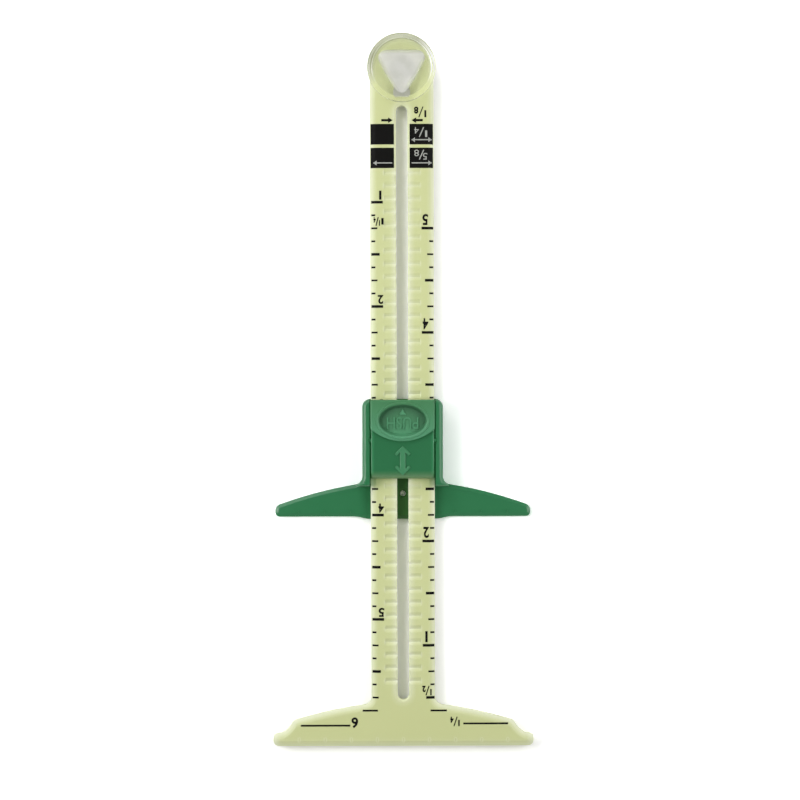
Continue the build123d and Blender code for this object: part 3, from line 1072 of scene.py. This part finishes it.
# %% [markdown]
# ## Signs moulded on the button
#
# An arrow with two heads stands on the button's flat panel and says that the slider moves both
# ways. A word and a small triangle stand in the dish. Moulded signs have sloping sides, which
# catch the side lamps, and their tone is painted lighter than the button's green: a painted
# highlight for the light their raised tops catch, which makes them readable. The arrow starts as
# a quarter of its outline, is mirrored twice and raised, and its upper edge is bevelled. The
# letters get their slope from the text curve itself.

# %% Raised signs
# Painted highlight: the signs' tones are lighter than the green they stand on.
panel_sign_highlight_tones = ((0.046, 0.215, 0.094, 1), (0.052, 0.230, 0.102, 1))
panel_sign_gloss = (0.36, 0.44)
dish_sign_highlight_tones = ((0.066, 0.262, 0.124, 1), (0.072, 0.280, 0.135, 1))
dish_sign_gloss = (0.5, 0.6)
sign_height = 0.25 * mm
sign_slope = 0.12 * mm
sign_sink = 0.05 * mm
facing_up = 0.5

panel_sign_green, _, _, _ = moulded_plastic(
    "panel_sign_green", panel_sign_highlight_tones, panel_sign_gloss, green_skin, green_bump
)
dish_sign_green, _, _, _ = moulded_plastic(
    "dish_sign_green", dish_sign_highlight_tones, dish_sign_gloss, green_skin, green_bump
)


def raise_flat(bm, height, slope):
    """Flat faces raised to a height, with their upper outline bevelled to a slope."""
    for face in bm.faces:
        if face.normal.z > 0:
            face.normal_flip()
    thicken(bm, height)
    tops = [face for face in bm.faces if face.normal.z > facing_up]
    rims = [edge for edge in bm.edges if sum(face in tops for face in edge.link_faces) == 1]
    bmesh.ops.bevel(
        bm,
        geom=rims,
        offset=slope,
        segments=2,
        affect="EDGES",
        profile=0.5,
        material=-1,
        offset_type="OFFSET",
    )


def place_sign(bm, name, floor_z, material):
    """A sign set on a floor of the button and made an object that rides on it."""
    bmesh.ops.translate(bm, verts=bm.verts, vec=(0, 0, floor_z - sign_sink))
    piece = make_piece(bm, name, material)
    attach(piece, "button")


# %% Arrow with two heads
panel_z = button_high.z - 1.05 * mm
arrow_low_y, arrow_high_y = button_low.y + 0.8 * mm, button_low.y + 8.0 * mm
arrow_half_height = (arrow_high_y - arrow_low_y) / 2
head_reach = 1.95 * mm
head_stroke = 0.5 * mm
shaft_half = 0.68 * mm
same_place = 0.001 * mm

bm = bmesh.new()
barb_y = arrow_half_height - head_reach
corners = [
    (0, arrow_half_height),
    (head_reach, barb_y),
    (head_reach - head_stroke, barb_y - head_stroke),
    (shaft_half, barb_y - 2 * head_stroke + head_reach - shaft_half),
    (shaft_half, 0),
    (0, 0),
]
bm.faces.new([bm.verts.new((x, y, 0)) for x, y in corners])
for axis in ("X", "Y"):
    every = bm.verts[:] + bm.edges[:] + bm.faces[:]
    bmesh.ops.mirror(bm, geom=every, axis=axis, merge_dist=same_place)
bmesh.ops.dissolve_faces(bm, faces=bm.faces[:])
raise_flat(bm, sign_height + sign_sink, sign_slope)
bmesh.ops.translate(bm, verts=bm.verts, vec=(0, (arrow_low_y + arrow_high_y) / 2, 0))
place_sign(bm, "slide_arrow", panel_z, panel_sign_green)

# %% Word and triangle in the dish
dish_floor = button_high.z - 1.4 * mm
triangle_y = dish_y + 1.85 * mm
triangle_radius = 1.0 * mm
word_half = 3.8 * mm
word_low_y, word_high_y = dish_y - 2.05 * mm, dish_y + 0.8 * mm
word_slope = 0.06 * mm
word_height = 2 * (sign_height + sign_sink - word_slope)

bm = bmesh.new()
bmesh.ops.create_circle(bm, segments=3, radius=triangle_radius, cap_ends=True)
raise_flat(bm, sign_height + sign_sink, sign_slope)
bmesh.ops.translate(bm, verts=bm.verts, vec=(0, triangle_y, 0))
add_figures(
    bm, "PUSH", -word_half, word_half, word_low_y, word_high_y, word_height, word_slope
)
place_sign(bm, "press_sign", dish_floor, dish_sign_green)

# %% [markdown]
# ## Finish
#
# The scratch collection goes.

# %% Finish
bpy.data.collections.remove(scratch)
